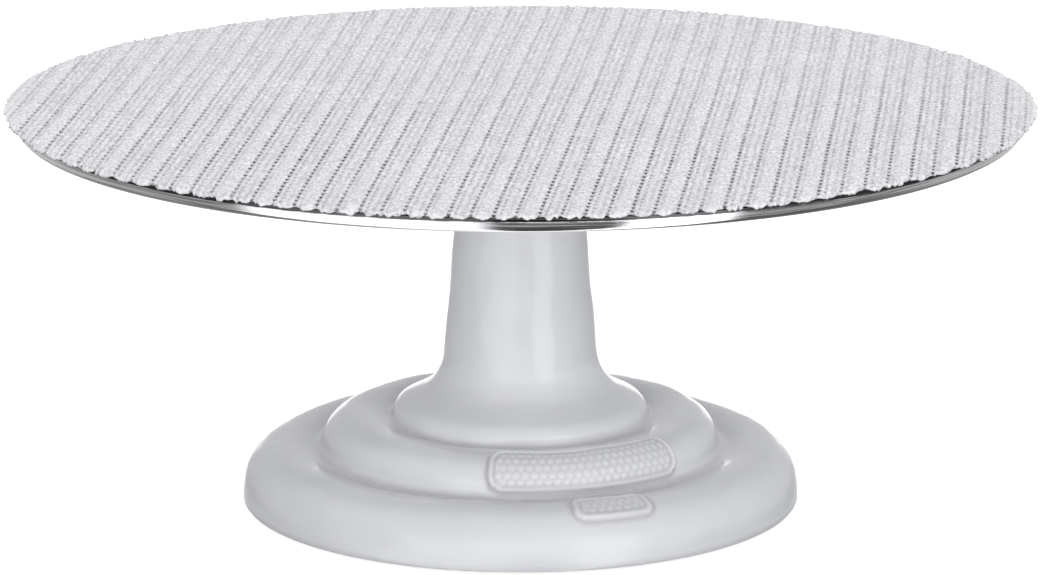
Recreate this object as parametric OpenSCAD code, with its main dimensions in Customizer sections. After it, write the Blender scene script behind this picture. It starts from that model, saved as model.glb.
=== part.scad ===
// Revolving cake decorating stand.
// A stepped cast pedestal carries a bushed vertical bore. A steel spindle,
// pinned in a hub under a turned aluminium plate, drops into that bore and
// turns on one thrust ball. A loose grip pad lies on the plate.
// Millimetres, +Z up, origin on the table top at the spin axis.

/* [Plate] */
// Diameter of the turntable plate
plate_d = 304.8; // [290:0.1:330]
// Thickness of the plate's outer band
plate_edge_t = 4.8; // [4.4:0.1:6]
// Thickness of the plate between its hub pad and its outer band
plate_web_t = 3.5; // [3:0.1:4]
// Height of the plate's top face above the table
plate_top_z = 124; // [122:0.5:138]

/* [Grip pad] */
// How far the pad reaches past the plate's edge
pad_overhang = 3.9; // [0:0.1:6]
// Thickness of the pad
pad_t = 1.2; // [0.8:0.1:3]

/* [Pedestal] */
// Diameter across the pedestal's foot rim
base_d = 171.2; // [168:0.1:180]
// Gap between the foot rim and the table, left by the rubber feet
foot_gap = 1; // [0.6:0.1:1.4]
// Column radius at its measuring height, 48 mm above the table
column_r = 23.4; // [22.8:0.05:25]
// Radius lost by the column for each millimetre of height
column_taper = 0.0845; // [0.05:0.0005:0.0875]
// Thickness of the pedestal's cast wall
wall_t = 7; // [6:0.1:7.6]
// Radius of the fillet where the column meets the top step
root_fillet = 14; // [8:0.5:18]

/* [Spindle and bearing] */
// Radius of the spindle
spindle_r = 8; // [7:0.5:8]
// Radial running gap between the spindle and its bushes
running_gap = 0.04; // [0.02:0.01:0.08]
// Outer radius of both bushes
bush_r = 11; // [10.5:0.1:11.5]
// Radius of the thrust ball
ball_r = 5; // [4:0.5:5]
// Height of the thrust ball's centre above the table
ball_z = 32; // [32:0.5:33]

/* [Hub] */
// Radius of the hub's flange
hub_flange_r = 32; // [31:0.5:36]
// Radius of the hub's barrel
hub_barrel_r = 18; // [17.8:0.1:18.2]
// Pitch circle diameter of the hub screws
hub_pcd = 50; // [49:0.5:51]
// Number of hub screws
hub_screw_n = 4; // [3:1:6]

/* [Feet] */
// Radius of a rubber foot
foot_r = 8; // [7:0.5:8]
// Distance of each foot from the spin axis
foot_pitch_r = 67.5; // [66:0.5:68]

/* [Hidden] */

$fn = 96;
turned_fn = 180;                    // facets of the largest turned shapes
overcut = 1;                        // how far a cutter starts outside its part
start_angle = 45;                   // direction of the first foot and hub screw

// Plate and hub
plate_r = plate_d/2;
hub_pad_t = 5.5;                    // plate thickness over the hub
hub_top_z = plate_top_z - hub_pad_t;
hub_h = 11;
hub_bottom_z = hub_top_z - hub_h;
flange_t = 4;
hub_screw_r = 2.5;
hub_washer_t = 1.2;
hub_washer_z = hub_top_z - flange_t - hub_washer_t;
pin_r = 2;
pin_z = hub_bottom_z + 3.6;

// Pedestal
step_scale = base_d/171.2;          // widens the steps with the foot rim
column_top_z = hub_bottom_z - 1.5;
boss_r = 20;                        // boss around the bore, under the steps
boss_bottom_z = 17;
rib_n = 4;
rib_t = 5;
enamel = [0.82, 0.82, 0.84];

// Bushes and dust seal
lower_bush_bottom_z = 40;
lower_bush_top_z = 60;
upper_bush_bottom_z = column_top_z - 26;
bush_flange_r = bush_r + 2.6;
bush_flange_t = 2;
seal_r = 17.2;
seal_hole_r = 14.6;
seal_bottom_z = column_top_z - 1;

// Thrust bearing
dimple_gap = 0.05;                  // added to the ball's radius in both dimples
seat_r = 7;
seat_t = 5;
seat_top_z = ball_z - 3;
seat_bottom_z = seat_top_z - seat_t;
thread_r = 13;                      // adjusting plug thread
plug_bottom_z = 8.5;
plug_top_z = seat_top_z - 2;
o_ring_groove_h = 2.2;
o_ring_groove_depth = 1.7;
o_ring_groove_z = plug_top_z - 4;
lock_nut_h = 6;

// Feet
foot_t = 6;
foot_n = rib_n;                     // one foot between each pair of ribs
foot_screw_r = 2;
foot_hole_r = 2.15;                 // clearance for the screw
foot_head_z = 0.9;
foot_head_h = 2.3;
foot_washer_z = foot_head_z + foot_head_h;

// ---- placing and shape helpers ----
module up(z) {
    translate([0, 0, z]) children();
}

// Copies evenly spaced on a circle around the spin axis
module around(count, pitch_r) {
    for (i = [0:count-1])
        rotate([0, 0, start_angle + i*360/count])
            translate([pitch_r, 0, 0]) children();
}

module feet_places() {
    around(foot_n, foot_pitch_r*step_scale) children();
}

module hub_screw_places() {
    around(hub_screw_n, hub_pcd/2) children();
}

// Flat ring standing on z = 0
module ring(height, outer_r, hole_r) {
    difference() {
        cylinder(h = height, r = outer_r);
        up(-overcut) cylinder(h = ceil(height) + 2, r = hole_r);
    }
}

module hexagon(height, across_flats) {
    cylinder(h = height, r = across_flats/2/cos(30), $fn = 6);
}

// Cutter for the pin's cross hole, along Y
module pin_hole(length) {
    translate([0, -length/2, pin_z]) rotate([-90, 0, 0]) cylinder(h = length, r = pin_r);
}

// Cutter for a bush's running bore
module bush_bore(bottom_z) {
    up(bottom_z - overcut) cylinder(h = 30, r = spindle_r + running_gap);
}

// ---- section helpers: polylines whose corners carry a radius ----
function unit(v) = v/norm(v);
function turn_angle(from, to) = atan2(from[0]*to[1] - from[1]*to[0], from*to);

// Arc of the given radius that rounds the corner between two neighbours
function corner(before, point, after, radius, steps) =
    radius <= 0 ? [point] :
    let (back = unit(before - point),
         ahead = unit(after - point),
         half_angle = acos(back*ahead)/2,
         tangent_l = radius/tan(half_angle),
         centre = point + unit(back + ahead)*radius/sin(half_angle),
         first = point + back*tangent_l - centre,
         last = point + ahead*tangent_l - centre,
         first_angle = atan2(first[1], first[0]),
         sweep = turn_angle(first, last))
    [for (i = [0:steps])
        let (angle = first_angle + sweep*i/steps)
        centre + radius*[cos(angle), sin(angle)]];

// Point i of a closed polyline, without its radius
function point_at(points, i) =
    let (p = points[(i + len(points)) % len(points)]) [p[0], p[1]];

function arc_steps(radius) = radius > 6 ? 14 : radius > 2 ? 8 : 5;

function rounded(points) =
    [for (i = [0:len(points)-1])
        each corner(point_at(points, i-1), point_at(points, i), point_at(points, i+1),
                    points[i][2], arc_steps(points[i][2]))];

// Column surface radius at a height above the table
function column_r_at(z) = column_r - column_taper*(z - 48);

// Points first to last of 16 on one domed step, from its outer foot up and in
// to its inner end, both [radius, height]. It is a superellipse whose crown is
// raised by the bulge. The points next to a crease are left to its own fillet.
function dome(foot, end, power, bulge, first, last) =
    [for (i = [first:last])
        let (angle = 90*i/16,
             across = pow(cos(angle), 2/power),
             rise = pow(sin(angle), 2/power))
        [end[0] + (foot[0] - end[0])*across,
         foot[1] + (end[1] - foot[1])*rise + 2*bulge*across*rise,
         0]];

// Outer section of the pedestal, foot rim to column top: radius, height,
// corner radius. Two domed steps and a rounded top step meet in soft creases.
outer_section = concat(
    [[84.8*step_scale, foot_gap, 0.9]],
    dome(foot = [base_d/2, foot_gap + 0.25], end = [62.1*step_scale, foot_gap + 15.1],
         power = 2.24, bulge = 4.5, first = 1, last = 14),
    [[60.75*step_scale, foot_gap + 14.6, 3]],
    dome(foot = [60.7*step_scale, foot_gap + 16.1], end = [39.85, foot_gap + 25.3],
         power = 2.4, bulge = 3, first = 2, last = 15),
    [[39.4,  foot_gap + 25.15, 1.6],
     [38.75, foot_gap + 30.4,  5.9],
     [column_r_at(37.8 + foot_gap), foot_gap + 37.8, root_fillet],
     [column_r_at(column_top_z), column_top_z, 1.2]]);

// Centre hole of the section, inside the bore: radius, height, corner radius
core_section = [[4, column_top_z, 0], [4, boss_bottom_z, 0]];

// Underside section, bore boss to foot rim: radius, height, corner radius
under_section = [
    [boss_r,                     boss_bottom_z, 0.8],
    [boss_r,                     36.5 - wall_t, 3],
    [36,                         31 - wall_t,   4],
    [56.5,                       25 - wall_t,   3],
    [61.5*step_scale,            18.6 - wall_t, 3],
    [78.2*step_scale,            15.6 - wall_t, 6],
    [(85.6 - wall_t)*step_scale, foot_gap,      0.9]];

// Side view of a rib, lower edge outward then upper edge back: radius, height
rib_outline = [
    [16, 19], [30, 12], [72*step_scale, 7], [80*step_scale, 6],
    [80*step_scale, 10], [78*step_scale, 12.5], [62.5*step_scale, 14.8],
    [57, 20.3], [37, 25.3], [24, 30.5], [16, 32]];

// One cast rib under the steps, from the bore boss to the foot rim
module rib() {
    rotate([90, 0, 0])
        up(-rib_t/2) linear_extrude(rib_t) polygon(rib_outline);
}

module base_casting() {
    foot_boss_r = 8.6;
    foot_boss_h = 9.3;
    relief = 1.2;
    mouth_z = boss_bottom_z - 3;    // cutters start below the boss
    color(enamel)
    difference() {
        union() {
            rotate_extrude($fn = turned_fn)
                polygon(rounded(concat(outer_section, core_section, under_section)));
            for (i = [0:rib_n-1]) rotate([0, 0, i*360/rib_n]) rib();
            feet_places() up(foot_t) cylinder(h = foot_boss_h, r = foot_boss_r);
        }
        // bore for the bushes, relieved between them
        up(mouth_z) cylinder(h = column_top_z, r = bush_r);
        up(lower_bush_top_z)
            cylinder(h = upper_bush_bottom_z - lower_bush_top_z, r = bush_r + relief);
        // seat for the upper bush's flange
        up(column_top_z - bush_flange_t) cylinder(h = 6, r = bush_flange_r);
        // groove for the felt dust seal
        up(seal_bottom_z) ring(height = 4, outer_r = seal_r, hole_r = seal_hole_r);
        // threaded chamber for the adjusting plug
        up(mouth_z) cylinder(h = lower_bush_bottom_z - mouth_z, r = thread_r);
        // tapped holes for the feet
        feet_places() up(foot_t - overcut) cylinder(h = 8, r = foot_screw_r);
    }
}

module upper_bush() {
    color("peru")
    difference() {
        union() {
            up(upper_bush_bottom_z)
                cylinder(h = column_top_z - upper_bush_bottom_z, r = bush_r);
            up(column_top_z - bush_flange_t)
                cylinder(h = bush_flange_t, r = bush_flange_r);
        }
        bush_bore(upper_bush_bottom_z);
    }
}

module lower_bush() {
    color("peru")
    difference() {
        up(lower_bush_bottom_z)
            cylinder(h = lower_bush_top_z - lower_bush_bottom_z, r = bush_r);
        bush_bore(lower_bush_bottom_z);
    }
}

module dust_seal() {
    color("dimgray")
    up(seal_bottom_z) ring(height = 2.3, outer_r = seal_r, hole_r = seal_hole_r);
}

module wear_washer() {
    color("ivory")
    up(column_top_z) ring(height = 1.2, outer_r = 13.2, hole_r = spindle_r + 0.3);
}

// Hardened button with a dimple that centres the ball
module thrust_seat() {
    color("slategray")
    difference() {
        up(seat_bottom_z) cylinder(h = seat_t, r = seat_r);
        up(ball_z + dimple_gap) sphere(r = ball_r + dimple_gap);
    }
}

module thrust_ball() {
    color("silver")
    up(ball_z) sphere(r = ball_r);
}

module adjusting_plug() {
    color("gray")
    difference() {
        up(plug_bottom_z) cylinder(h = plug_top_z - plug_bottom_z, r = thread_r);
        // pocket for the thrust seat
        up(seat_bottom_z) cylinder(h = 10, r = seat_r);
        // hexagon socket for a 10 mm key
        up(plug_bottom_z - overcut) hexagon(height = 6.5, across_flats = 10);
        // groove for the O-ring
        up(o_ring_groove_z)
            ring(height = o_ring_groove_h, outer_r = thread_r + overcut,
                 hole_r = thread_r - o_ring_groove_depth);
    }
}

module plug_o_ring() {
    color([0.1, 0.1, 0.1])
    up(o_ring_groove_z + o_ring_groove_h/2)
        rotate_extrude()
            translate([thread_r - o_ring_groove_depth/2, 0]) circle(r = 0.84, $fn = 32);
}

// Hexagon nut with its corners turned down
module lock_nut() {
    color("gray")
    up(boss_bottom_z - lock_nut_h)
        difference() {
            intersection() {
                hexagon(height = lock_nut_h, across_flats = 36);
                cylinder(h = lock_nut_h, r = 19.8);
            }
            up(-overcut) cylinder(h = 9, r = thread_r);
        }
}

module rubber_feet() {
    head_pocket_r = 4.6;
    color([0.12, 0.12, 0.12])
    feet_places()
        difference() {
            cylinder(h = foot_t, r = foot_r);
            up(-overcut) cylinder(h = 5, r = head_pocket_r);
            up(-overcut) cylinder(h = 9, r = foot_hole_r);
        }
}

module foot_screws() {
    slot = [4.4, 1, 1.8];           // one arm pair of the cross recess
    color("silver")
    feet_places()
        difference() {
            union() {
                up(foot_head_z) cylinder(h = foot_head_h, r = 3.7);
                up(3) cylinder(h = 9, r = foot_screw_r);
            }
            for (angle = [0, 90])
                rotate([0, 0, angle])
                    translate([-slot[0]/2, -slot[1]/2, foot_head_z - 0.5]) cube(slot);
        }
}

module foot_washers() {
    color("silver")
    feet_places()
        up(foot_washer_z) ring(height = 0.8, outer_r = 4.4, hole_r = foot_hole_r);
}

module spindle() {
    bottom_z = ball_z + 3;
    top_z = hub_top_z - 0.2;
    groove_depth = 0.6;
    color("silver")
    difference() {
        up(bottom_z) cylinder(h = top_z - bottom_z, r = spindle_r);
        // dimple that sits on the ball
        up(ball_z - dimple_gap) sphere(r = ball_r + dimple_gap);
        // grease grooves between the bushes
        for (z = [66, 72])
            up(z) ring(height = 1.5, outer_r = spindle_r + overcut,
                       hole_r = spindle_r - groove_depth);
        pin_hole(40);
        // grease relief down from the top centre
        up(hub_top_z - 4) cylinder(h = 10, r = 2.5);
    }
}

module hub_flange() {
    screw_hole_r = 2.75;
    barrel_overlap = 0.5;           // how far the barrel runs into the flange
    color("lightgray")
    difference() {
        union() {
            up(hub_bottom_z)
                cylinder(h = hub_h - flange_t + barrel_overlap, r = hub_barrel_r);
            up(hub_top_z - flange_t) cylinder(h = flange_t, r = hub_flange_r);
        }
        up(hub_bottom_z - overcut) cylinder(h = 14, r = spindle_r);
        hub_screw_places()
            up(hub_top_z - flange_t - overcut)
                cylinder(h = flange_t + 2*overcut, r = screw_hole_r);
        pin_hole(50);
    }
}

// Slotted spring pin through hub and spindle
module spindle_pin() {
    half_l = hub_barrel_r - 1;
    slot_w = 0.7;
    color("gray")
    translate([0, -half_l, pin_z])
        rotate([-90, 0, 0])
            difference() {
                cylinder(h = 2*half_l, r = pin_r);
                up(-overcut) cylinder(h = 50, r = 1.2);
                translate([-slot_w/2, -3, -overcut]) cube([slot_w, 3, 50]);
            }
}

module hub_screws() {
    head_h = 2.8;
    thread_l = 4.2;                 // length inside the plate
    color("silver")
    hub_screw_places()
        up(hub_washer_z)
            difference() {
                union() {
                    up(-head_h) cylinder(h = head_h, r = 4.5);
                    cylinder(h = flange_t + hub_washer_t + thread_l, r = hub_screw_r);
                }
                // hexagon socket for a 3 mm key
                up(-4) hexagon(height = 3, across_flats = 3);
            }
}

module hub_spring_washers() {
    split_w = 0.6;
    color("gray")
    hub_screw_places()
        up(hub_washer_z)
            difference() {
                ring(height = hub_washer_t, outer_r = 4.3, hole_r = 2.6);
                // split
                rotate([0, 0, 20])
                    translate([0, -split_w/2, -overcut]) cube([6, split_w, 4]);
            }
}

module turntable_plate() {
    web_z = plate_top_z - plate_web_t;
    edge_z = plate_top_z - plate_edge_t;
    // underside from the axis out, then the top: radius, height, corner radius
    section = [
        [0,           hub_top_z,   0],
        [36,          hub_top_z,   0.8],
        [39,          web_z,       1.5],
        [plate_r - 9, web_z,       1.5],
        [plate_r - 7, edge_z,      0.8],
        [plate_r,     edge_z,      1.3],
        [plate_r,     plate_top_z, 0.9],
        [0,           plate_top_z, 0]];
    color("lightsteelblue")
    difference() {
        rotate_extrude($fn = turned_fn) polygon(rounded(section));
        // centre mark left by turning, in the underside
        up(hub_top_z - overcut) cylinder(h = 3.2, r = 2.5);
        // tapped holes for the hub
        hub_screw_places()
            up(hub_top_z - overcut) cylinder(h = 5.5, r = hub_screw_r);
    }
}

module non_slip_pad() {
    lift = 0.02;                    // keeps the loose pad clear of the plate
    color([0.88, 0.88, 0.9])
    up(plate_top_z + lift)
        cylinder(h = pad_t, r = plate_r + pad_overhang, $fn = turned_fn);
}

base_casting();
upper_bush();
lower_bush();
dust_seal();
wear_washer();
thrust_seat();
thrust_ball();
adjusting_plug();
plug_o_ring();
lock_nut();
rubber_feet();
foot_screws();
foot_washers();
spindle();
hub_flange();
spindle_pin();
hub_screws();
hub_spring_washers();
turntable_plate();
non_slip_pad();
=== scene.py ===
# A round turntable: an enamelled, domed pedestal casting carries an aluminium plate
# with a ribbed knit grip pad on top. It stands on the table at z = 0, its axis is Z
# and its front faces -Y, towards the camera. Shapes are in mm, Blender is in metres.
import math
import bpy
import bmesh
import numpy as np
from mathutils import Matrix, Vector


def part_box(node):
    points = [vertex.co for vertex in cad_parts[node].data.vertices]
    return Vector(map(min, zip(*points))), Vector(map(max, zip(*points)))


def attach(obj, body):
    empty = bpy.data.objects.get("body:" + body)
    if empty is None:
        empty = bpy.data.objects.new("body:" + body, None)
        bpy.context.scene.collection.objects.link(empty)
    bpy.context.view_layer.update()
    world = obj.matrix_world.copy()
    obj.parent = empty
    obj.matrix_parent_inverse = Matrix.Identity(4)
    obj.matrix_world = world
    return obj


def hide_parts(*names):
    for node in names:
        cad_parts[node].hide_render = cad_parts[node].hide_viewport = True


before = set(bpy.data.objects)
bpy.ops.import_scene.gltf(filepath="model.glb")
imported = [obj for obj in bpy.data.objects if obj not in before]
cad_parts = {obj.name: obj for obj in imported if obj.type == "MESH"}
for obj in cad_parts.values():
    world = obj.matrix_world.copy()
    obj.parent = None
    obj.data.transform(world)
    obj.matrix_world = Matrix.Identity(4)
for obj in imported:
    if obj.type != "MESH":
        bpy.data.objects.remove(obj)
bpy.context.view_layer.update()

MM = 0.001

# ------------------------------------------------------------------ places, mm
base_lo, base_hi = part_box("base_casting")
plate_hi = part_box("turntable_plate")[1]
pad_lo, pad_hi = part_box("non_slip_pad")
RIM_Z = base_lo.z / MM                # foot rim of the casting, above the table
COLUMN_TOP = base_hi.z / MM
PLATE_R = 152.4
PLATE_TOP = plate_hi.z / MM
PAD_R = pad_hi.x / MM
PAD_BOTTOM = pad_lo.z / MM
PAD_TOP = pad_hi.z / MM


# ------------------------------------------------------------------ shape helpers
def unit(v):
    return v / np.linalg.norm(v)


def rounded(points, step, straight, closed=False):
    """Polyline through (r, z, corner radius) points.

    step is the longest piece of an arc, straight the spacing on the straights.
    """
    places = [np.array(point[:2], float) for point in points]
    corners = []
    for i, (_, _, radius) in enumerate(points):
        if radius <= 0:
            corners.append([places[i]])
            continue
        before, corner, after = places[i - 1], places[i], places[(i + 1) % len(places)]
        u, v = unit(before - corner), unit(after - corner)
        half = math.acos(max(-1, min(1, float(u @ v)))) / 2
        centre = corner + unit(u + v) * radius / math.sin(half)
        a = corner + u * radius / math.tan(half) - centre
        b = corner + v * radius / math.tan(half) - centre
        start = math.atan2(a[1], a[0])
        sweep = math.atan2(a[0] * b[1] - a[1] * b[0], float(a @ b))
        count = max(5, int(math.ceil(abs(sweep) * radius / step)))
        angles = [start + sweep * j / count for j in range(count + 1)]
        corners.append([centre + radius * np.array([math.cos(angle), math.sin(angle)])
                        for angle in angles])
    line = []
    for i, arc in enumerate(corners):
        line += arc
        if i == len(corners) - 1 and not closed:
            break
        a, b = arc[-1], corners[(i + 1) % len(corners)][0]
        count = int(float(np.linalg.norm(b - a)) / straight)
        line += [a + (b - a) * j / (count + 1) for j in range(1, count + 1)]
    return np.array(line)


def smoothstep(x, a, b):
    t = np.clip((x - a) / (b - a), 0, 1)
    return t * t * (3 - 2 * t)


def waves(seed, count, length):
    """A smooth, repeatable bumpy field over points: sum of plane waves, about -1 to 1."""
    random = np.random.RandomState(seed)
    ways = random.normal(size=(count, 3))
    ways = (ways / np.linalg.norm(ways, axis=1)[:, None] * (2 * math.pi / length)
            * random.uniform(0.6, 1.5, (count, 1)))
    phases = random.uniform(0, 2 * math.pi, count)

    def field(points):
        total = np.zeros(len(points))
        for way, phase in zip(ways, phases):
            total += np.sin(points @ way + phase)
        return total / math.sqrt(count) * 1.2
    return field


def quad_mesh(name, verts_mm, quads, sharp=None):
    """Smooth-shaded mesh from numpy arrays; edges over `sharp` degrees stay sharp."""
    mesh = bpy.data.meshes.new(name)
    verts = np.asarray(verts_mm, np.float64) * MM
    mesh.vertices.add(len(verts))
    mesh.vertices.foreach_set("co", verts.astype(np.float32).ravel())
    mesh.loops.add(quads.size)
    mesh.loops.foreach_set("vertex_index", quads.ravel().astype(np.int32))
    mesh.polygons.add(len(quads))
    mesh.polygons.foreach_set("loop_start", np.arange(0, quads.size, 4, dtype=np.int32))
    mesh.update(calc_edges=True)
    mesh.validate()
    ob = bpy.data.objects.new(name, mesh)
    bpy.context.scene.collection.objects.link(ob)
    mesh.shade_smooth()
    if sharp is not None:
        mesh.set_sharp_from_angle(angle=math.radians(sharp))
    return ob


def close_edit(bm, mesh):
    """Point all faces outwards and write the edit back."""
    bmesh.ops.recalc_face_normals(bm, faces=bm.faces)
    bm.to_mesh(mesh)
    bm.free()


def lathe_grid(profile, thetas):
    """Vertices (rings x thetas) of a profile turned about Z: -Y at theta 0, +X at 90 degrees."""
    c, s = np.cos(thetas), np.sin(thetas)
    r, z = profile[:, 0][:, None], profile[:, 1][:, None]
    return np.stack([r * s, -r * c, z + 0 * s], 2)


def grid_quads(n, m, wrap_rows=True):
    rows = n if wrap_rows else n - 1
    i, j = np.meshgrid(np.arange(rows), np.arange(m), indexing="ij")
    below, right = (i + 1) % n, (j + 1) % m
    corners = [i * m + j, i * m + right, below * m + right, below * m + j]
    return np.stack(corners, 2).reshape(-1, 4)


# ------------------------------------------------------------------ shader helpers
class Signal:
    """A shader socket; each arithmetic operator adds one Math node."""

    def __init__(self, graph, socket):
        self.graph = graph
        self.socket = socket

    def __add__(self, other):
        return self.graph.math("ADD", self, other)

    def __sub__(self, other):
        return self.graph.math("SUBTRACT", self, other)

    def __rsub__(self, other):
        return self.graph.math("SUBTRACT", other, self)

    def __mul__(self, other):
        return self.graph.math("MULTIPLY", self, other)

    def __truediv__(self, other):
        return self.graph.math("DIVIDE", self, other)

    def __abs__(self):
        return self.graph.math("ABSOLUTE", self)

    def ramp(self, lo, hi, at_lo=0.0, at_hi=1.0, curve="SMOOTHSTEP"):
        """Go from at_lo to at_hi as the signal goes from lo to hi."""
        return self.graph.out("ShaderNodeMapRange", 0, {0: self, 1: lo, 2: hi, 3: at_lo, 4: at_hi},
                              interpolation_type=curve)

    def linear(self, lo=0.0, hi=1.0, at_lo=0.0, at_hi=1.0):
        return self.ramp(lo, hi, at_lo, at_hi, curve="LINEAR")


class Graph:
    """Adds nodes to a tree; most methods add one node and return its output."""

    def __init__(self, tree):
        self.tree = tree
        tree.nodes.clear()

    def put(self, socket, value):
        if isinstance(value, Signal):
            value = value.socket
        if isinstance(value, bpy.types.NodeSocket):
            self.tree.links.new(value, socket)
        else:
            socket.default_value = value

    def fill(self, node, inputs):
        for key, value in inputs.items():
            self.put(node.inputs[key], value)

    def node(self, kind, inputs=None, **settings):
        node = self.tree.nodes.new(kind)
        for key, value in settings.items():
            setattr(node, key, value)
        self.fill(node, inputs or {})
        return node

    def out(self, kind, output, inputs=None, **settings):
        return Signal(self, self.node(kind, inputs, **settings).outputs[output])

    def math(self, operation, a, b=None):
        inputs = {0: a} if b is None else {0: a, 1: b}
        return self.out("ShaderNodeMath", 0, inputs, operation=operation)

    def biggest(self, first, *rest):
        for other in rest:
            first = self.math("MAXIMUM", first, other)
        return first

    def length(self, a, b):
        return self.math("SQRT", a * a + b * b)

    def coords(self, space="Object"):
        return self.out("ShaderNodeTexCoord", space)

    def split(self, vector):
        node = self.node("ShaderNodeSeparateXYZ", {0: vector})
        return [Signal(self, socket) for socket in node.outputs]

    def combine(self, x, y, z):
        return self.out("ShaderNodeCombineXYZ", 0, {0: x, 1: y, 2: z})

    def noise(self, vector, scale=1.0, detail=2.0, rough=0.5):
        return self.out("ShaderNodeTexNoise", "Fac", {
            "Vector": vector, "Scale": scale, "Detail": detail, "Roughness": rough})

    def mix(self, factor, a, b):
        return self.out("ShaderNodeMix", 2, {0: factor, 6: a, 7: b}, data_type="RGBA")

    def tint(self, base, mask, amount, color):
        """Blend base towards color by amount where the mask is 1."""
        return self.mix(mask * amount, base, color)

    def bump(self, height, strength, distance):
        return self.out("ShaderNodeBump", 0, {
            "Strength": strength, "Distance": distance, "Height": height})


def new_material(name):
    """Material, its graph and its Principled shader; the graph keeps its output node."""
    material = bpy.data.materials.new(name)
    material.use_nodes = True
    graph = Graph(material.node_tree)
    graph.output = graph.node("ShaderNodeOutputMaterial")
    shader = graph.node("ShaderNodeBsdfPrincipled")
    graph.put(graph.output.inputs[0], shader.outputs[0])
    return material, graph, shader


def set_material(ob, material):
    ob.data.materials.clear()
    ob.data.materials.append(material)


# ------------------------------------------------------------------ materials
def enamel_material():
    material, graph, shader = new_material("enamel_white")
    point = graph.coords()
    x, y, z = graph.split(point)
    radius = graph.length(x, y)
    # faint cloudy tone, and painted shade, a little darker and warmer, along the creases
    cloud = graph.noise(point, scale=28)
    base = graph.mix(cloud.ramp(lo=0.25, hi=0.8),
                     (0.720, 0.725, 0.750, 1), (0.750, 0.755, 0.780, 1))

    def crease(r, height, width):
        distance = graph.length(radius - r * MM, z - height * MM)
        return distance.ramp(lo=0.0, hi=width * MM, at_lo=1.0, at_hi=0.0)
    crease_shade = graph.biggest(crease(r=62.0, height=RIM_Z + 15.9, width=2.4),
                            crease(r=39.8, height=RIM_Z + 25.8, width=2.0))
    patches = graph.noise(point, scale=160).ramp(lo=0.25, hi=0.75, at_lo=0.25)
    base = graph.tint(base, crease_shade * patches, amount=0.22, color=(0.36, 0.33, 0.30, 1))
    # painted shade in the recesses of the raised panels
    cavity_shade = graph.out("ShaderNodeAttribute", "Fac", attribute_name="cavity_shade")
    base = graph.tint(base, cavity_shade, amount=0.42, color=(0.32, 0.31, 0.30, 1))
    # soft sand-cast swell under the paint, orange peel on top of it
    swell = graph.noise(point, scale=120, detail=1, rough=0.4)
    peel = graph.noise(point, scale=420, detail=1, rough=0.4)
    swell_height, peel_height = 1.0, 0.30
    relief = swell * swell_height + peel * peel_height
    graph.fill(shader, {
        "Base Color": base,
        "Roughness": graph.noise(point, scale=90, detail=1).linear(at_lo=0.29, at_hi=0.42),
        "Specular IOR Level": 0.5,
        "Coat Weight": 0.7,
        "Coat Roughness": 0.07,
        "Normal": graph.bump(relief, strength=1.0, distance=0.00012)})
    return material


def aluminium_material():
    material, graph, shader = new_material("turned_aluminium")
    x, y, z = graph.split(graph.coords())
    radius = graph.length(x, y)
    angle = graph.math("ARCTAN2", y, x)
    rim = radius.ramp(lo=151.2 * MM, hi=151.9 * MM)

    def marks(a, b, layer, detail, rough=0.5):
        return graph.noise(graph.combine(a, b, layer), detail=detail, rough=rough)
    # turning marks: rings on the faces, long streaks along the edge band.
    # The factors are cells per metre (radius, z) and per radian (angle).
    ring = marks(radius * 1800.0, angle * 1.5, layer=0.0, detail=3, rough=0.6)
    streak = marks(angle * 14.0, z * 2600.0, layer=0.0, detail=4, rough=0.65)
    nick = marks(angle * 90.0, z * 900.0, layer=3.0, detail=2).ramp(lo=0.66, hi=0.74)
    turn = marks(angle * 4.0, z * 1250.0, layer=7.0, detail=1)
    tone = graph.tint((0.83, 0.83, 0.84, 1), nick, amount=0.35, color=(0.55, 0.55, 0.56, 1))
    # painted shadow: a dark, wavy line at the top of the edge, under the pad's overhang
    wave_height = 0.0006
    wavy = (marks(angle * 30.0, 0.0, layer=5.0, detail=2, rough=0.6) - 0.5) * wave_height
    overhang_shadow = (z + wavy).ramp(lo=(PLATE_TOP - 1.85) * MM, hi=(PLATE_TOP - 1.5) * MM) * rim
    tone = graph.tint(tone, overhang_shadow, amount=0.93, color=(0.03, 0.03, 0.032, 1))
    face_rough = ring.linear(at_lo=0.28, at_hi=0.40)
    rim_rough = streak.linear(at_lo=0.04, at_hi=0.16)
    # relative heights of the marks
    ring_height, streak_height, turn_height, nick_height = 0.8, 0.25, 3.4, -0.35
    rim_relief = streak * streak_height + turn * turn_height + nick * nick_height
    relief = ring * ring_height * (1.0 - rim) + rim_relief * rim
    graph.fill(shader, {
        "Base Color": tone,
        # the turned faces carry a thin dull oxide film; the polished edge doesn't
        "Metallic": rim.linear(at_lo=0.72, at_hi=1.0),
        "Roughness": face_rough * (1.0 - rim) + rim_rough * rim,
        "Normal": graph.bump(relief, strength=0.5, distance=0.00004)})
    return material


def mottled(name, color, rough, rough_span, vary, grain, blotch, bump, stretch=None, extra=None):
    """Blotchy colour over a fine grain.

    rough_span: factors on rough over the grain; vary: darkening of the blotches;
    grain, blotch: noise scales; bump: strength and distance; stretch: grain per axis.
    """
    material, graph, shader = new_material(name)
    point = graph.coords()
    grain_point = point
    if stretch:
        axes = graph.split(point)
        grain_point = graph.combine(*[axis * by for axis, by in zip(axes, stretch)])
    fine = graph.noise(grain_point, scale=grain, detail=4, rough=0.6)
    coarse = graph.noise(point, scale=blotch)
    dark = tuple(v * (1 - vary) for v in color[:3]) + (1,)
    low, high = (min(1.0, rough * factor) for factor in rough_span)
    graph.fill(shader, {
        "Base Color": graph.mix(coarse.ramp(lo=0.35, hi=0.65), dark, color),
        "Roughness": fine.linear(lo=0.3, hi=0.7, at_lo=low, at_hi=high),
        "Normal": graph.bump(fine, *bump),
        **extra})
    return material


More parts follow.
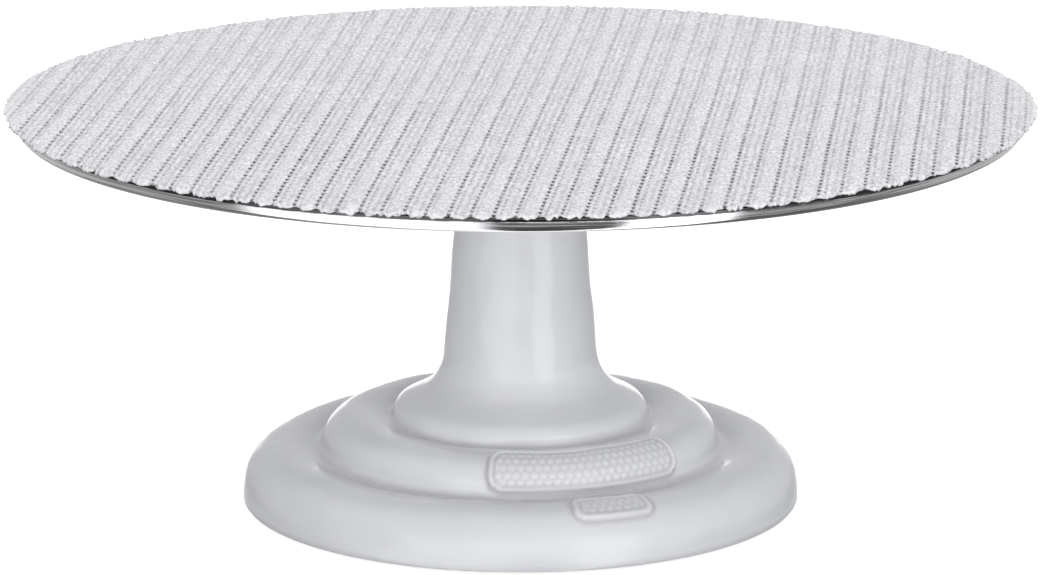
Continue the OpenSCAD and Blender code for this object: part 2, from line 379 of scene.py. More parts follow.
def metal(name, color, rough, wear, grain, stretch=None):
    return mottled(name, color, rough, rough_span=(0.75, 1.3), vary=wear, grain=grain,
                   blotch=grain * 0.2, bump=(0.6, 0.00002), stretch=stretch,
                   extra={"Metallic": 1.0})


def plain(name, color, rough, grain, bump, vary, sheen=0.0):
    return mottled(name, color, rough, rough_span=(0.85, 1.15), vary=vary, grain=grain,
                   blotch=grain * 0.15, bump=(0.7, bump), extra={"Sheen Weight": sheen})


# ------------------------------------------------------------------ pedestal
PANEL_THETA = math.radians(20.5)      # middle of the raised panels, from -Y towards +X
CORE_R, CORE_TOP = 20, 29.5           # inner upper corner of the hollow under the shell
# Raised panels: r, z of the middle, half length, half width, corner radius, lift, bead height
PANELS = [
    (58.3, RIM_Z + 24.4, 31.0, 7.7, 5.5, 0.80, 0.60),
    (77.0, RIM_Z + 16.7, 12.5, 5.6, 4.2, 0.60, 0.45),
]


def column_r(z):
    return 23.4 - 0.0845 * (z - 48)


def dome(outer_r, low_z, inner_r, high_z, power, bulge, near):
    """One domed step of the casting: a superellipse with a raised crown.

    near lists ((r, z), clearance) of the corners that its points keep away from.
    """
    count = 44
    t = np.radians(90.0 * np.arange(1, count) / count)
    a, b = np.cos(t) ** (2 / power), np.sin(t) ** (2 / power)
    points = np.stack([inner_r + (outer_r - inner_r) * a,
                       low_z + (high_z - low_z) * b + 2 * bulge * a * b], 1)
    for (r, z), clearance in near:
        points = points[np.hypot(points[:, 0] - r, points[:, 1] - z) > clearance]
    return [(float(r), float(z), 0) for r, z in points]


def pedestal_profile():
    """Closed outline of the casting, (r, z)."""
    foot, step, neck = (84.8, RIM_Z), (60.75, RIM_Z + 14.6), (39.4, RIM_Z + 25.15)
    # each outline: r, z, corner radius
    outer = [
        foot + (0.9,),
        *dome(outer_r=85.6, low_z=RIM_Z + 0.25, inner_r=62.1, high_z=RIM_Z + 15.1,
              power=2.24, bulge=4.5, near=[(step, 4.7), (foot, 1.6)]),
        step + (3.0,),
        *dome(outer_r=60.7, low_z=RIM_Z + 16.1, inner_r=39.85, high_z=RIM_Z + 25.3,
              power=2.4, bulge=3.0, near=[(step, 4.7), (neck, 2.3)]),
        neck + (1.6,), (38.75, RIM_Z + 30.4, 5.9),
        (column_r(37.8 + RIM_Z), RIM_Z + 37.8, 14), (column_r(COLUMN_TOP), COLUMN_TOP, 1.2)]
    bore = [
        (17.2, COLUMN_TOP, 0), (17.2, COLUMN_TOP - 1, 0), (14.6, COLUMN_TOP - 1, 0),
        (14.6, COLUMN_TOP, 0), (13.6, COLUMN_TOP, 0), (13.6, COLUMN_TOP - 2, 0),
        (11.0, COLUMN_TOP - 2, 0), (11.0, 80, 0), (12.2, 80, 0), (12.2, 60, 0), (11.0, 60, 0),
        (11.0, 40, 0), (13.0, 40, 0), (13.0, 17, 0)]
    inner = [
        (CORE_R, 17, 0.8), (CORE_R, CORE_TOP, 3), (36, 24, 4), (56.5, 18, 3),
        (61.5, 11.6, 3), (78.2, 8.6, 6), (78.6, RIM_Z, 0.9)]
    profile = rounded(outer + bore + inner, step=0.62, straight=1.6, closed=True)
    # the hidden bore keeps only its corners
    corners = {(round(r, 3), round(z, 3)) for r, z, _ in bore}
    keep = [not 10.9 < r < 13.7 or (round(r, 3), round(z, 3)) in corners for r, z in profile]
    return profile[np.array(keep)]


def raised_panel(along, across, half_length, half_width, corner_r, lift, bead):
    """Relief of a rounded panel: a lifted plateau, a bead inside its edge, rows of pimples."""
    row_gap, pimple_gap, pimple_r, pimple_height = 2.25, 2.6, 0.80, 0.34
    bead_inset, bead_r, edge_width = 1.4, 0.60, 0.9
    qx = np.abs(along) - (half_length - corner_r)
    qy = np.abs(across) - (half_width - corner_r)
    distance = (np.hypot(np.maximum(qx, 0), np.maximum(qy, 0))
                + np.minimum(np.maximum(qx, qy), 0) - corner_r)
    inside = smoothstep(-distance - 2.6, 0, 0.8)
    row = np.round(across / row_gap)
    step = along / pimple_gap - 0.5 * (row % 2)
    pimples = np.exp(-(((step - np.round(step)) * pimple_gap) ** 2
                       + (across - row * row_gap) ** 2) / pimple_r ** 2)
    return (lift * smoothstep(-distance, 0, edge_width)
            + bead * np.exp(-((distance + bead_inset) / bead_r) ** 2)
            + inside * pimple_height * pimples)


def hollow_relief(x, y, z, under):
    """Heights with the ribs and foot bosses pulled down, with cast draft and soft roots."""
    radius = np.hypot(x, y)
    from_rib = np.minimum(np.abs(x), np.abs(y))
    rib_z = np.interp(radius, [18, 30, 72, 80], [18.5, 12, 7, 6])
    rib = smoothstep(3.6 - from_rib, 0, 1.4) * smoothstep(radius, 20.2, 21.5)
    new_z = np.where(under, z + (np.minimum(rib_z, z) - z) * rib, z)
    circle_r, boss_r, boss_z = 67.5, 9.6, 6.0
    for k in range(4):
        angle = math.radians(45 + 90 * k)
        from_boss = np.hypot(x - circle_r * math.cos(angle), y - circle_r * math.sin(angle))
        boss = smoothstep(boss_r - from_boss, 0, 1.3)
        new_z = np.where(under, np.minimum(new_z, z + (boss_z - z) * boss), new_z)
    return new_z


def build_pedestal():
    profile = pedestal_profile()
    # degrees: fine steps across the panels, coarse steps round the rest
    thetas = np.radians(np.concatenate([np.arange(-20, 66, 0.42), np.arange(66, 340, 1.55)]))
    verts = lathe_grid(profile, thetas)
    rows, columns = verts.shape[:2]
    # outward normals of the profile and the distance along it
    tangent = np.roll(profile, -1, 0) - np.roll(profile, 1, 0)
    tangent /= np.linalg.norm(tangent, axis=1)[:, None] + 1e-9
    normal_r, normal_z = tangent[:, 1], -tangent[:, 0]
    arc = np.concatenate([[0], np.cumsum(np.linalg.norm(np.diff(profile, axis=0), axis=1))])
    # the outer skin is everything between the foot rim and the column top
    top_row = int(np.argmax(profile[:, 1] > COLUMN_TOP - 0.01))
    skin = np.zeros(rows, bool)
    skin[3:top_row - 2] = True

    def nearest_row(r, z, barred):
        distance = np.hypot(profile[:, 0] - r, profile[:, 1] - z)
        return int(np.argmin(distance + np.where(barred, 1e3, 0)))

    points = verts.reshape(-1, 3)
    lift = (waves(seed=11, count=22, length=26.0)(points) * 0.13
            + waves(seed=12, count=26, length=9.0)(points) * 0.030).reshape(rows, columns)
    relief = np.zeros((rows, columns))
    for r, z, *shape in PANELS:
        along = (thetas[None, :] - PANEL_THETA) * r
        across = arc[:, None] - arc[nearest_row(r, z, ~skin)] + 0 * thetas[None, :]
        relief += raised_panel(along, across, *shape)
    lift += relief
    # painted shade for the recesses: how far the relief lies below its blurred self
    blurred = relief.copy()
    for _ in range(3):
        for axis in (0, 1):
            blurred = (np.roll(blurred, 1, axis) + blurred + np.roll(blurred, -1, axis)) / 3
    cavity_shade = np.clip((blurred - relief) / 0.12, 0, 1)
    lift *= (skin[:, None] * smoothstep(arc[:, None], 3, 8)
             * smoothstep(arc[top_row] - arc[:, None], 2, 8))
    verts[:, :, 2] += lift * normal_z[:, None]
    verts[:, :, 0] += lift * normal_r[:, None] * np.sin(thetas)
    verts[:, :, 1] -= lift * normal_r[:, None] * np.cos(thetas)
    under = np.zeros(rows, bool)
    under[nearest_row(CORE_R, CORE_TOP, skin) - 2:] = True
    under &= (profile[:, 0] > 20.4) & (profile[:, 0] < 78.4)
    verts[:, :, 2] = hollow_relief(verts[:, :, 0], verts[:, :, 1], verts[:, :, 2],
                                   under[:, None])
    ob = quad_mesh("pedestal_casting", verts.reshape(-1, 3), grid_quads(rows, columns), sharp=48)
    attribute = ob.data.attributes.new("cavity_shade", "FLOAT", "POINT")
    attribute.data.foreach_set("value", cavity_shade.astype(np.float32).ravel())
    bm = bmesh.new()
    bm.from_mesh(ob.data)
    close_edit(bm, ob.data)
    return ob


# ------------------------------------------------------------------ plate
def build_plate():
    sharp = 40                        # degrees
    hub_z = PLATE_TOP - 5.5           # underside at the hub, under the web and at the edge
    web_z = PLATE_TOP - 3.5
    edge_z = PLATE_TOP - 4.8
    centre_r = 3.0
    # r, z, corner radius
    profile = rounded([
        (centre_r, hub_z, 0), (36, hub_z, 0.8), (39, web_z, 1.5), (PLATE_R - 9, web_z, 1.5),
        (PLATE_R - 7, edge_z, 0.8), (PLATE_R - 0.09, edge_z, 1.35),
        (PLATE_R, PLATE_TOP - 2.3, 14.0), (PLATE_R - 0.09, PLATE_TOP, 0.9),
        (centre_r, PLATE_TOP, 0)], step=0.14, straight=4.0)
    grid = lathe_grid(profile, np.radians(np.arange(0, 360, 0.75)))
    rows, columns = grid.shape[:2]
    verts = np.vstack([grid.reshape(-1, 3), [[0, 0, hub_z], [0, 0, PLATE_TOP]]])
    ob = quad_mesh("plate_disc", verts, grid_quads(rows, columns, wrap_rows=False), sharp=sharp)
    # fans close the centre, below and above
    bm = bmesh.new()
    bm.from_mesh(ob.data)
    bm.verts.ensure_lookup_table()
    low_centre, high_centre = bm.verts[rows * columns], bm.verts[rows * columns + 1]
    last_row = (rows - 1) * columns
    for j in range(columns):
        k = (j + 1) % columns
        bm.faces.new((low_centre, bm.verts[k], bm.verts[j]))
        bm.faces.new((high_centre, bm.verts[last_row + j], bm.verts[last_row + k]))
    for face in bm.faces:
        face.smooth = True
    close_edit(bm, ob.data)
    ob.data.set_sharp_from_angle(angle=math.radians(sharp))
    return ob


# ------------------------------------------------------------------ grip pad
# u runs across the ribs and v along them; t is the phase 0..1 within one repeat in u.
LEAN = math.radians(5.55)             # ribs lean towards +X going away (+Y)
LEAN_COS, LEAN_SIN = math.cos(LEAN), math.sin(LEAN)
PERIOD = 12.6                         # repeat of the ribs in u
PITCH = 4.41                          # repeat of the stitches in v
HOLE_U = 7.73                         # a strong hole line lies at this u
SECOND_HOLES = 0.49                   # phase of the second hole line
WEAK_HOLES = 0.15                     # phase of the weak hole line
GROOVES = (0.0, WEAK_HOLES, 0.33, SECOND_HOLES, 0.605)   # phases of the valleys
# Sideways drift of the knit: heights, wave lengths / 2 pi in y and x, phase
DRIFT_LONG, DRIFT_SHORT = 0.22, 0.06
LONG_Y, SHORT_Y, SHORT_X = 60.0, 17.0, 45.0
DRIFT_PHASE = 0.6
# Mesh columns across one repeat, from the hole line; dense at the grooves
COLUMN_OFFSETS = np.array([
    -0.95, -0.55, -0.24, 0, 0.24, 0.55, 0.95, 1.45, 1.9, 2.35, 3.2, 3.85, 4.16,
    4.5, 5.2, 5.75, 6.17, 6.6, 7.05, 7.3, 7.62, 8.1, 8.8, 9.6, 10.5, 11.1])
ROW_OFFSETS = np.array([-1.0, 0.0, 1.0, PITCH / 2])      # mesh rows along one stitch
MESH_REACH = 160                      # the grid is laid out this far each way


def phase_of(u):
    return ((u - HOLE_U) / PERIOD) % 1.0


def drift(x, y):
    return (DRIFT_LONG * np.sin(y / LONG_Y + DRIFT_PHASE)
            + DRIFT_SHORT * np.sin(y / SHORT_Y + x / SHORT_X))


def scatter(a, b, seed=0.0):
    """Repeatable scatter of 0..1 over pairs of numbers."""
    value = np.sin(a * 12.9898 + b * 78.233 + seed) * 43758.5453
    return value - np.floor(value)


def ripples(theta, *terms):
    """Sum of sines round the edge; each term is height, count round the edge, phase."""
    return sum(height * np.sin(count * theta + phase) for height, count, phase in terms)


def notch(x, width):
    """A soft notch: 1 at x = 0, falling in a straight line to 0 at width, with a rounded tip."""
    return np.clip(1 - np.sqrt(x * x + 0.09) / width + 0.3 / width, 0, 1)


def pad_edge(theta, u, v):
    """Radius of the cut edge: nicks at each hole line, small bites at the knit, uneven cut."""
    t = phase_of(u)
    from_first = np.minimum(t, 1 - t) * PERIOD
    from_second = np.abs(t - SECOND_HOLES) * PERIOD
    line = np.round((u - HOLE_U) / PERIOD + (np.abs(t - SECOND_HOLES) < 0.25) * 0.5)
    vary = np.sin(line * 5.17 + np.sign(v) * 1.3 + 0.4)
    first = notch(from_first, 1.5 + 0.5 * vary)
    second = notch(from_second, 1.4 - 0.5 * vary)
    # 1 where the ribs meet the edge head on
    square = np.clip(np.abs(np.cos(theta - LEAN)) * 1.3 - 0.12, 0, 1)
    stitch = (v / PITCH) % 1.0
    bite = np.exp(-((np.minimum(stitch, 1 - stitch) * PITCH) / 0.7) ** 2)
    wobble = ripples(theta, (0.22, 5, 1.0), (0.16, 17, 0.4), (0.14, 43, 2.0), (0.10, 97, 0))
    cut = 1.0 + 0.35 * np.sin(11 * theta + 0.3) * np.sin(29 * theta)
    nibble = scatter(np.round(u * 4), np.round(v)) * 0.80
    depth = 1.0 + 0.45 * vary
    edge = (PAD_R - 0.10 + 0.40 * wobble
            - (1.35 * first * depth + 1.05 * second * (2.0 - depth)) * square * cut
            - bite * (1 - square) * 0.45 - nibble)
    return np.minimum(edge, PAD_R - 0.05)


def pad_height(t):
    """Height of the knit between its valleys (0) and its highest rib (1)."""
    x = t * PERIOD
    valleys = np.array(GROOVES + (1.0,)) * PERIOD
    crowns = [0.36, 0.42, 0.40, 0.30, 0.62]
    height = np.zeros_like(x)
    for a, b, crown in zip(valleys[:-1], valleys[1:], crowns):
        rib = (x >= a) & (x < b)
        q = (x[rib] - a) / (b - a) * 2 - 1
        height[rib] = crown * np.clip(1 - q ** 2, 0, 1) ** 0.45

    def lobe(part):
        return 0.36 * np.abs(np.sin(math.pi * np.clip(part, 0, 1))) ** 0.6
    return height + np.where(t < SECOND_HOLES, lobe(t / SECOND_HOLES),
                             lobe((t - SECOND_HOLES) / (1 - SECOND_HOLES)))


def pad_wave(theta, r, t):
    """Lift of the loose overhang: lobes between the hole lines, a curl at the -X and +X ends."""
    over = np.clip((r - 151.0) / 4.5, 0, 1) ** 1.5
    part = np.where(t < SECOND_HOLES, t / SECOND_HOLES,
                    (t - SECOND_HOLES) / (1 - SECOND_HOLES))
    lobes = -0.40 * np.sin(math.pi * part) ** 2
    end = np.exp(-((np.abs(theta) - math.pi / 2) / 0.30) ** 2)
    jag = (ripples(theta, (0.15, 331, 1.0), (0.12, 457, 0.3), (0.14, 211, 0), (0.10, 613, 2.0))
           * (1.05 + 0.7 * np.sin(19 * theta)))
    over_jag = np.clip((r - 153.0) / 2.6, 0, 1)
    slow = ripples(theta, (0.10, 3, 0.7), (0.10, 9, 1.1), (0.08, 23, 0))
    curl = end * (0.25 + 0.35 * np.sin(31 * theta) * np.sin(13 * theta))
    return over * (lobes * (1 - end) + slow + 0.02 + curl) + over_jag * (jag - 0.08)


def pad_surface(x, y, u, v, edge_r):
    """Height of the pad's upper face."""
    r, theta, t = np.hypot(x, y), np.arctan2(x, -y), phase_of(u)
    from_first = np.minimum(t, 1 - t) * PERIOD
    from_weak = np.abs(t - WEAK_HOLES) * PERIOD
    from_second = np.abs(t - SECOND_HOLES) * PERIOD
    stitch = np.round(v / PITCH)
    from_stitch = np.abs(v / PITCH - stitch) * PITCH
    from_between = np.abs((v / PITCH - 0.5) - np.round(v / PITCH - 0.5)) * PITCH
    line = np.round((u - HOLE_U) / PERIOD)
    vary_first = 0.5 + 0.5 * scatter(stitch, line, 1.0)
    vary_other = 0.4 + 0.6 * scatter(stitch, line, 7.0)

    def holes(depth, across, width, along):
        return depth * np.exp(-(across / width) ** 2) * np.clip(1.25 - along / 0.95, 0, 1)
    pits = holes(0.62 * vary_first, from_first, 0.36, from_stitch)
    pits += holes(0.50 * vary_other, from_second, 0.33, from_stitch)
    pits += holes(0.20 * vary_other, from_weak, 0.40, from_between)
    pinch = 0.05 * np.cos(2 * math.pi * v / PITCH) * np.where(t < 0.55, 1.0, 0.35)
    flat = np.stack([x.ravel(), y.ravel(), 0 * x.ravel()], 1)
    bumpy = waves(seed=21, count=34, length=5.0)(flat).reshape(x.shape) * 0.030
    z = (PAD_TOP - 0.08 - 0.44 * (1 - pad_height(t) / 0.98) - pits - pinch
         + np.clip(bumpy, -0.08, 0.08))
    inward = np.clip((edge_r - r) / 1.6, 0, 1)
    z -= 0.30 * (1 - np.sqrt(np.clip(1 - (1 - inward) ** 2, 0, 1)))
    z = np.minimum(np.maximum(z, PAD_BOTTOM + 0.10), PAD_TOP - 0.005)
    return np.minimum(z + pad_wave(theta, r, t), PAD_TOP - 0.002)


def stations(start, counts, pitch, offsets):
    places = np.sort((start + counts[:, None] * pitch + offsets[None, :]).ravel())
    return places[(places > -MESH_REACH) & (places < MESH_REACH)]


def close_pad(bm):
    """Go down the cut edge, tuck under and close the underside."""
    rest_z = PAD_BOTTOM + 0.03

    def low(r, vert):
        x, y = vert.co.x / MM, vert.co.y / MM
        u = x * LEAN_COS - y * LEAN_SIN
        u -= drift(x, y)
        theta = math.atan2(vert.co.x, -vert.co.y)
        wave = pad_wave(np.array([theta]), np.array([max(r, 0.1)]), np.array([phase_of(u)]))
        return rest_z + float(wave[0])

    # radial shift of each new ring, and its height from its radius and vertex
    rings = [
        (0.09, lambda r, vert: 0.55 * vert.co.z / MM + 0.45 * low(r, vert)),
        (-0.08, lambda r, vert: low(r, vert) + 0.16),
        (-0.30, low),
        (-1.6, low),
        (-3.4, lambda r, vert: rest_z),
    ]
    edges = [edge for edge in bm.edges if len(edge.link_faces) == 1]
    for shift, height in rings:
        made = bmesh.ops.extrude_edge_only(bm, edges=edges)["geom"]
        for vert in [item for item in made if isinstance(item, bmesh.types.BMVert)]:
            r = math.hypot(vert.co.x, vert.co.y)
            scale = (r + shift * MM) / r
            vert.co.x *= scale
            vert.co.y *= scale
            vert.co.z = height(r / MM + shift, vert) * MM
        edges = [item for item in made if isinstance(item, bmesh.types.BMEdge)]
    bmesh.ops.contextual_create(bm, geom=edges)


def build_pad():
    u, v = np.meshgrid(stations(HOLE_U, np.arange(-14, 15), PERIOD, COLUMN_OFFSETS),
                       stations(0, np.arange(-45, 46), PITCH, ROW_OFFSETS), indexing="ij")
    x = u * LEAN_COS + v * LEAN_SIN
    y = -u * LEAN_SIN + v * LEAN_COS
    sideways = drift(x, y)
    x = x + sideways * LEAN_COS
    y = y - sideways * LEAN_SIN
    r = np.hypot(x, y)
    edge_r = pad_edge(np.arctan2(x, -y), u, v)
    # keep each cell that has a corner inside, and snap its outer corners to the edge
    inside = r < edge_r - 0.05
    low, high = slice(None, -1), slice(1, None)
    corners = [(low, low), (high, low), (high, high), (low, high)]
    cells = np.any([inside[corner] for corner in corners], axis=0)
    used = np.zeros_like(inside)
    for corner in corners:
        used[corner] |= cells
    snap = np.where(used & (r > edge_r), edge_r / np.maximum(r, 1e-6), 1.0)
    x, y = x * snap, y * snap
    z = pad_surface(x, y, u, v, edge_r)
    index = -np.ones(x.shape, np.int64)
    index[used] = np.arange(int(used.sum()))
    verts = np.stack([x[used], y[used], z[used]], 1)
    quads = np.stack([index[corner][cells] for corner in corners], 1)
    a, b, c = verts[quads[0, 0]], verts[quads[0, 1]], verts[quads[0, 3]]
    if np.cross(b - a, c - a)[2] < 0:
        quads = quads[:, ::-1]
    ob = quad_mesh("grip_pad_mat", verts, quads)
    bm = bmesh.new()
    bm.from_mesh(ob.data)
    # snapping leaves collapsed cells behind
    bmesh.ops.dissolve_degenerate(bm, dist=2e-6, edges=bm.edges)
    for group in (bm.edges, bm.verts):
        for loose in [item for item in group if not item.link_faces]:
            group.remove(loose)
    close_pad(bm)
    for face in bm.faces:
        face.smooth = True
    close_edit(bm, ob.data)
    ob.data.update()
    return ob


def pad_material():
    material, graph, shader = new_material("grip_pad_foam")
    point = graph.coords()
    x, y, z = graph.split(point)
    x_mm, y_mm = x * 1000.0, y * 1000.0
    u = x_mm * LEAN_COS - y_mm * LEAN_SIN
    v = x_mm * LEAN_SIN + y_mm * LEAN_COS
    long_drift = graph.math("SINE", y_mm / LONG_Y + DRIFT_PHASE) * DRIFT_LONG
    short_drift = graph.math("SINE", y_mm / SHORT_Y + x_mm / SHORT_X) * DRIFT_SHORT
    u = u - (long_drift + short_drift)
    t = graph.math("FRACT", (u - HOLE_U) / PERIOD)
    at_stitch = abs(graph.math("FRACT", v / PITCH + 0.5) - 0.5) * PITCH
    between = abs(graph.math("FRACT", v / PITCH) - 0.5) * PITCH

    def distance_to(phase):
        distance = abs(t - phase)
        return graph.math("MINIMUM", distance, 1.0 - distance) * PERIOD
    first, weak, third, second, fifth = (distance_to(phase) for phase in GROOVES)

    # painted shade in the holes, strongest at the front (-Y)
    def dot(across, along, width, length, amount):
        distance = graph.length(across / width, along / length)
        return distance.ramp(lo=0.70, hi=1.15, at_lo=1.0, at_hi=0.0) * amount
    patchy = graph.noise(point, scale=22)
    front = y_mm.linear(lo=-70.0, hi=60.0, at_lo=1.0, at_hi=0.12)
    strong = patchy.ramp(lo=0.30, hi=0.60, at_lo=0.62) * front
    jitter_cells = 0.35               # across the ribs, per mm
    jitter = graph.noise(graph.combine(u * jitter_cells, v / PITCH, 0.0), detail=0)
    hole_shade = graph.biggest(dot(first, at_stitch, width=0.60, length=1.16, amount=1.0),
                          dot(second, at_stitch, width=0.55, length=1.10, amount=0.95),
                          dot(weak, between, width=0.42, length=0.95, amount=0.46))
    hole_shade = hole_shade * strong * jitter.ramp(lo=0.25, hi=0.60, at_lo=0.45)

    # shaded valleys
    def line(distance, width, amount):
        return distance.ramp(lo=0.0, hi=width, at_lo=1.0, at_hi=0.0) * amount
    minor = graph.biggest(line(fifth, width=0.80, amount=0.75),
                          line(weak, width=0.80, amount=0.62))
    minor = graph.biggest(line(third, width=0.85, amount=0.72), minor)
    lines = graph.biggest(line(first, width=0.95, amount=0.75),
                          line(second, width=0.90, amount=0.85), minor)
    lines = lines * graph.noise(point, scale=60).ramp(lo=0.25, hi=0.65, at_lo=0.6)

    thread_stretch = 0.42             # along the ribs
    micro = graph.noise(graph.combine(u, v * thread_stretch, z * 1000.0),
                        scale=1.15, detail=3, rough=0.62)
    fuzz = graph.noise(point, scale=420, detail=3, rough=0.6)
    big = graph.noise(point, scale=26)
    ladder = (graph.math("COSINE", v * (2 * math.pi / PITCH))
              * t.ramp(lo=0.52, hi=0.60, at_lo=1.0, at_hi=0.3))
    edge = graph.length(x, y).ramp(lo=154.6 * MM, hi=155.6 * MM)
    ends = abs(x).ramp(lo=147.5 * MM, hi=154.5 * MM)
    base = graph.mix(micro.linear(lo=0.36, hi=0.64),
                     (0.50, 0.496, 0.524, 1), (0.84, 0.835, 0.866, 1))
    base = graph.tint(base, fuzz.ramp(lo=0.50, hi=0.68), amount=0.42, color=(0.89, 0.89, 0.91, 1))
    base = graph.mix(big.ramp(lo=0.35, hi=0.65, at_hi=0.10), base, (0.45, 0.45, 0.47, 1))
    base = graph.tint(base, lines, amount=0.36, color=(0.24, 0.24, 0.255, 1))
    base = graph.tint(base, hole_shade, amount=0.96, color=(0.012, 0.012, 0.014, 1))
    # the cut edge is lightened: partly its paler cut foam, partly a painted highlight
    base = graph.tint(base, edge, amount=0.42, color=(0.90, 0.90, 0.895, 1))
    base = graph.tint(base, ends, amount=0.40, color=(0.76, 0.77, 0.75, 1))
    # painted shade on the back of the knit, which rests on the metal: faces that point down are
    # darkened
    normal_z = graph.split(graph.out("ShaderNodeNewGeometry", "Normal"))[2]
    back = normal_z.ramp(lo=-0.75, hi=-0.35, at_lo=1.0, at_hi=0.0)
    base = graph.tint(base, back, amount=0.9, color=(0.16, 0.16, 0.165, 1))
    # relative heights
    micro_height, fuzz_height, line_depth, ladder_depth = 1.0, 0.7, 0.35, 0.10
    relief = (micro * micro_height + fuzz * fuzz_height
              - lines * line_depth - ladder * ladder_depth)
    graph.fill(shader, {
        "Base Color": base,
        "Roughness": fuzz.linear(lo=0.3, hi=0.7, at_lo=0.62, at_hi=0.85),
        "Specular IOR Level": 0.25,
        "Sheen Weight": 0.05,
        "Normal": graph.bump(relief, strength=1.0, distance=0.00050)})
    return material


# ------------------------------------------------------------------ build
pedestal = build_pedestal()
set_material(pedestal, enamel_material())
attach(pedestal, "base")
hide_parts("base_casting")

plate = build_plate()
aluminium = aluminium_material()
set_material(plate, aluminium)
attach(plate, "turntable")
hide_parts("turntable_plate")

pad = build_pad()
set_material(pad, pad_material())
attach(pad, "grip_pad")
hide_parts("non_slip_pad")

# the CAD pieces that stay only get materials
bronze = metal("sintered_bronze", color=(0.55, 0.36, 0.18, 1), rough=0.38, wear=0.25, grain=900)
steel = metal("ground_steel", color=(0.60, 0.60, 0.61, 1), rough=0.22, wear=0.08, grain=300,
              stretch=(1, 1, 12))
hard = metal("hardened_steel", color=(0.66, 0.67, 0.68, 1), rough=0.10, wear=0.05, grain=500)
zinc = metal("zinc_plate", color=(0.62, 0.63, 0.65, 1), rough=0.30, wear=0.15, grain=500)
black = metal("black_oxide", color=(0.075, 0.075, 0.08, 1), rough=0.42, wear=0.25, grain=700)
rubber = plain("black_rubber", color=(0.028, 0.028, 0.030, 1), rough=0.62, grain=700,
               bump=0.00005, vary=0.2)
felt = plain("grey_felt", color=(0.11, 0.11, 0.115, 1), rough=0.95, grain=1600,
             bump=0.00025, vary=0.35, sheen=0.5)
nylon = plain("natural_nylon", color=(0.78, 0.76, 0.68, 1), rough=0.42, grain=300,
              bump=0.00002, vary=0.06)
looks = {
    "upper_bush": bronze, "lower_bush": bronze, "dust_seal": felt, "wear_washer": nylon,
    "thrust_seat": hard, "thrust_ball": hard, "adjusting_plug": zinc, "plug_o_ring": rubber,
    "lock_nut": zinc, "rubber_feet": rubber, "foot_screws": zinc, "foot_washers": zinc,
    "spindle": steel, "hub_flange": aluminium, "spindle_pin": black, "hub_screws": black,
    "hub_spring_washers": black}
for name, material in looks.items():
    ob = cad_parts[name]
    if not ob.material_slots:
        ob.data.materials.append(material)
    for slot in ob.material_slots:
        slot.material = material

# ------------------------------------------------------------------ studio, metres
scene = bpy.context.scene
scene.view_settings.view_transform = "Standard"
scene.view_settings.look = "None"
scene.view_settings.exposure = 0.0
scene.view_settings.gamma = 1.0


def floor_material():
    """Matt white that also glows, but only to the camera."""
    material, graph, shader = new_material("floor_white")
    graph.fill(shader, {"Base Color": (0.62, 0.62, 0.62, 1), "Roughness": 0.9,
                        "Specular IOR Level": 0.1})
    glow = 0.80
    seen = graph.out("ShaderNodeLightPath", "Is Camera Ray")
    emission = graph.node("ShaderNodeEmission", {0: (1, 1, 1, 1), 1: seen * glow})
    both = graph.node("ShaderNodeAddShader", {0: shader.outputs[0], 1: emission.outputs[0]})
    graph.put(graph.output.inputs[0], both.outputs[0])
    return material


def build_floor():
    half = 6.0
    mesh = bpy.data.meshes.new("studio_floor")
    mesh.from_pydata([(-half, -half, 0), (half, -half, 0), (half, half, 0), (-half, half, 0)],
                     [], [(0, 1, 2, 3)])
    mesh.update()
    ob = bpy.data.objects.new("studio_floor", mesh)
    scene.collection.objects.link(ob)
    set_material(ob, floor_material())
    ob.visible_glossy = False
    return ob


floor = build_floor()

# Brightness round the studio: azimuth in degrees (0 towards the camera, positive to
# the right, +X), brightness.
# Low band: what the polished rim sees; it has hard dark windows.
LOW_BAND = [
    (-180, 0.80), (-150, 0.40), (-118, 0.26), (-90, 0.20), (-67, 0.16), (-61, 1.45),
    (-10, 1.40), (-6, 0.07), (22, 0.07), (26, 2.1), (46, 2.1), (51, 0.10), (80, 0.12),
    (118, 0.22), (150, 0.40), (180, 0.80)]
# Middle band: what the enamel sees; soft boxes either side of a pale gap.
MIDDLE_BAND = [
    (-180, 0.80), (-150, 0.55), (-110, 0.50), (-75, 0.45), (-50, 0.52), (-42, 1.75),
    (-6, 1.70), (-2, 1.20), (20, 1.15), (24, 2.45), (47, 2.45), (53, 0.90), (80, 0.80),
    (118, 0.70), (150, 0.65), (180, 0.80)]
BAND_FULL = 2.5                       # brightness that the ramp stores as 1


def azimuth_band(graph, turn, stops):
    node = graph.node("ShaderNodeValToRGB", {0: turn})
    elements = node.color_ramp.elements
    while len(elements) > 1:
        elements.remove(elements[0])
    for i, (azimuth, brightness) in enumerate(stops):
        position = (azimuth + 180) / 360
        element = elements[0] if i == 0 else elements.new(position)
        element.position = position
        element.color = (brightness / BAND_FULL,) * 3 + (1,)
    return Signal(graph, node.outputs[0]) * BAND_FULL


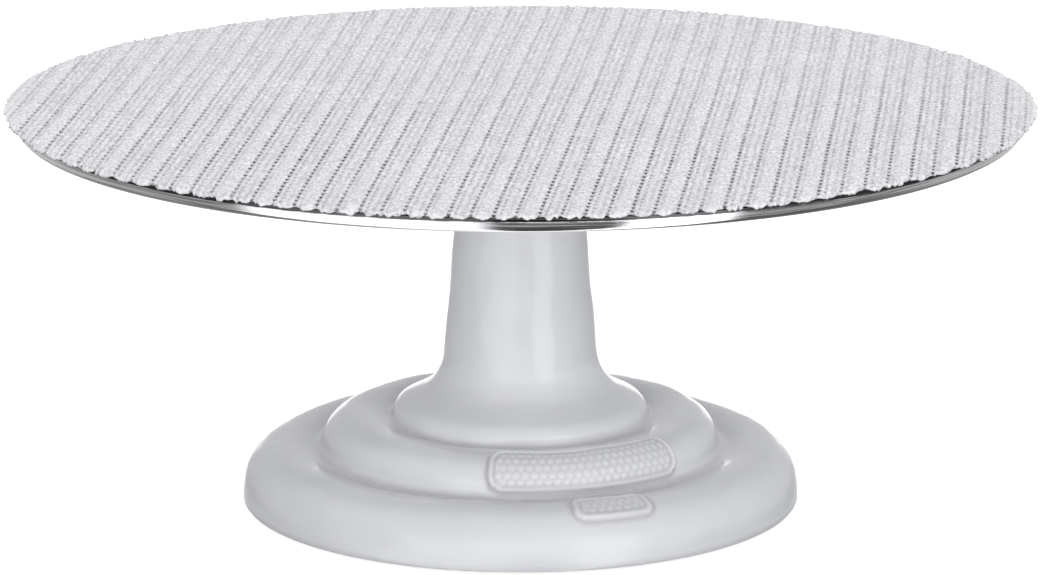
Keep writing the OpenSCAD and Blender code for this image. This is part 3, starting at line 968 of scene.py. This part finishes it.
def build_world():
    """A bright wrap-round studio seen only in reflections and as fill; white to the camera."""
    world = bpy.data.worlds.new("studio")
    scene.world = world
    world.use_nodes = True
    graph = Graph(world.node_tree)
    output = graph.node("ShaderNodeOutputWorld")
    x, y, up = graph.split(graph.coords("Generated"))
    azimuth = graph.math("DEGREES", graph.math("ARCTAN2", x, y * -1.0))
    turn = (azimuth + 180.0) / 360.0
    low = azimuth_band(graph, turn, LOW_BAND)
    # a level strip that partly fills the dark windows
    strip = (up.ramp(lo=-0.34, hi=-0.27)
             * up.ramp(lo=-0.235, hi=-0.19, at_lo=1.0, at_hi=0.0))
    strip_level, strip_amount = 1.2, 0.28
    low = low + ((strip_level - graph.math("MINIMUM", low, strip_level))
                 * (strip * strip_amount))
    middle = azimuth_band(graph, turn, MIDDLE_BAND)
    # a bright sheet straight behind the object, low down: it draws the thin light
    # lines along the shoulders
    sheet = (abs(azimuth).ramp(lo=162.0, hi=168.0)
             * up.ramp(lo=0.02, hi=0.10, at_lo=1.0, at_hi=0.0))
    sheet_brightness = 1.1
    middle = middle + sheet * sheet_brightness
    low = low + sheet * sheet_brightness
    to_middle = up.ramp(lo=-0.125, hi=-0.07)
    sides = low * (1.0 - to_middle) + middle * to_middle
    top_brightness = 0.55
    to_top = up.ramp(lo=0.30, hi=0.55)
    brightness = sides * (1.0 - to_top) + to_top * top_brightness
    studio = graph.node("ShaderNodeBackground", {0: (0.985, 0.99, 1.0, 1), 1: brightness})
    backdrop = graph.node("ShaderNodeBackground", {0: (1, 1, 1, 1), 1: 1.0})
    seen = graph.out("ShaderNodeLightPath", "Is Camera Ray")
    both = graph.node("ShaderNodeMixShader", {
        0: seen, 1: studio.outputs[0], 2: backdrop.outputs[0]})
    graph.put(output.inputs[0], both.outputs[0])


def aim(ob, target):
    way = Vector(target) - Vector(ob.location)
    ob.rotation_euler = way.to_track_quat("-Z", "Y").to_euler()


def area_light(name, location, target, size, energy):
    light = bpy.data.lights.new(name, "AREA")
    light.shape = "RECTANGLE"
    light.size, light.size_y = size
    light.energy = energy
    ob = bpy.data.objects.new(name, light)
    scene.collection.objects.link(ob)
    ob.location = location
    aim(ob, target)
    ob.visible_camera = False
    ob.visible_glossy = False


def build_camera():
    distance, height, pitch_down = 1.6975, 0.4794, math.radians(13.664)
    camera = bpy.data.cameras.new("camera")
    camera.lens = 197.80
    camera.sensor_width = 36
    camera.clip_start, camera.clip_end = 0.05, 50
    ob = bpy.data.objects.new("camera", camera)
    scene.collection.objects.link(ob)
    ob.location = (0, -distance, height)
    aim(ob, (0, 0, height - distance * math.tan(pitch_down)))
    scene.camera = ob


build_world()
area_light("overhead", location=(0.0, 0.1, 1.5), target=(0, 0, 0.1), size=(1.8, 1.5), energy=13.5)
area_light("key", location=(0.15, -1.48, 0.92), target=(0, 0, 0.05), size=(0.9, 0.6), energy=2.5)
area_light("front_fill", location=(-0.15, -1.8, 0.20), target=(0, 0, 0.07), size=(0.9, 0.35),
           energy=6.0)
build_camera()
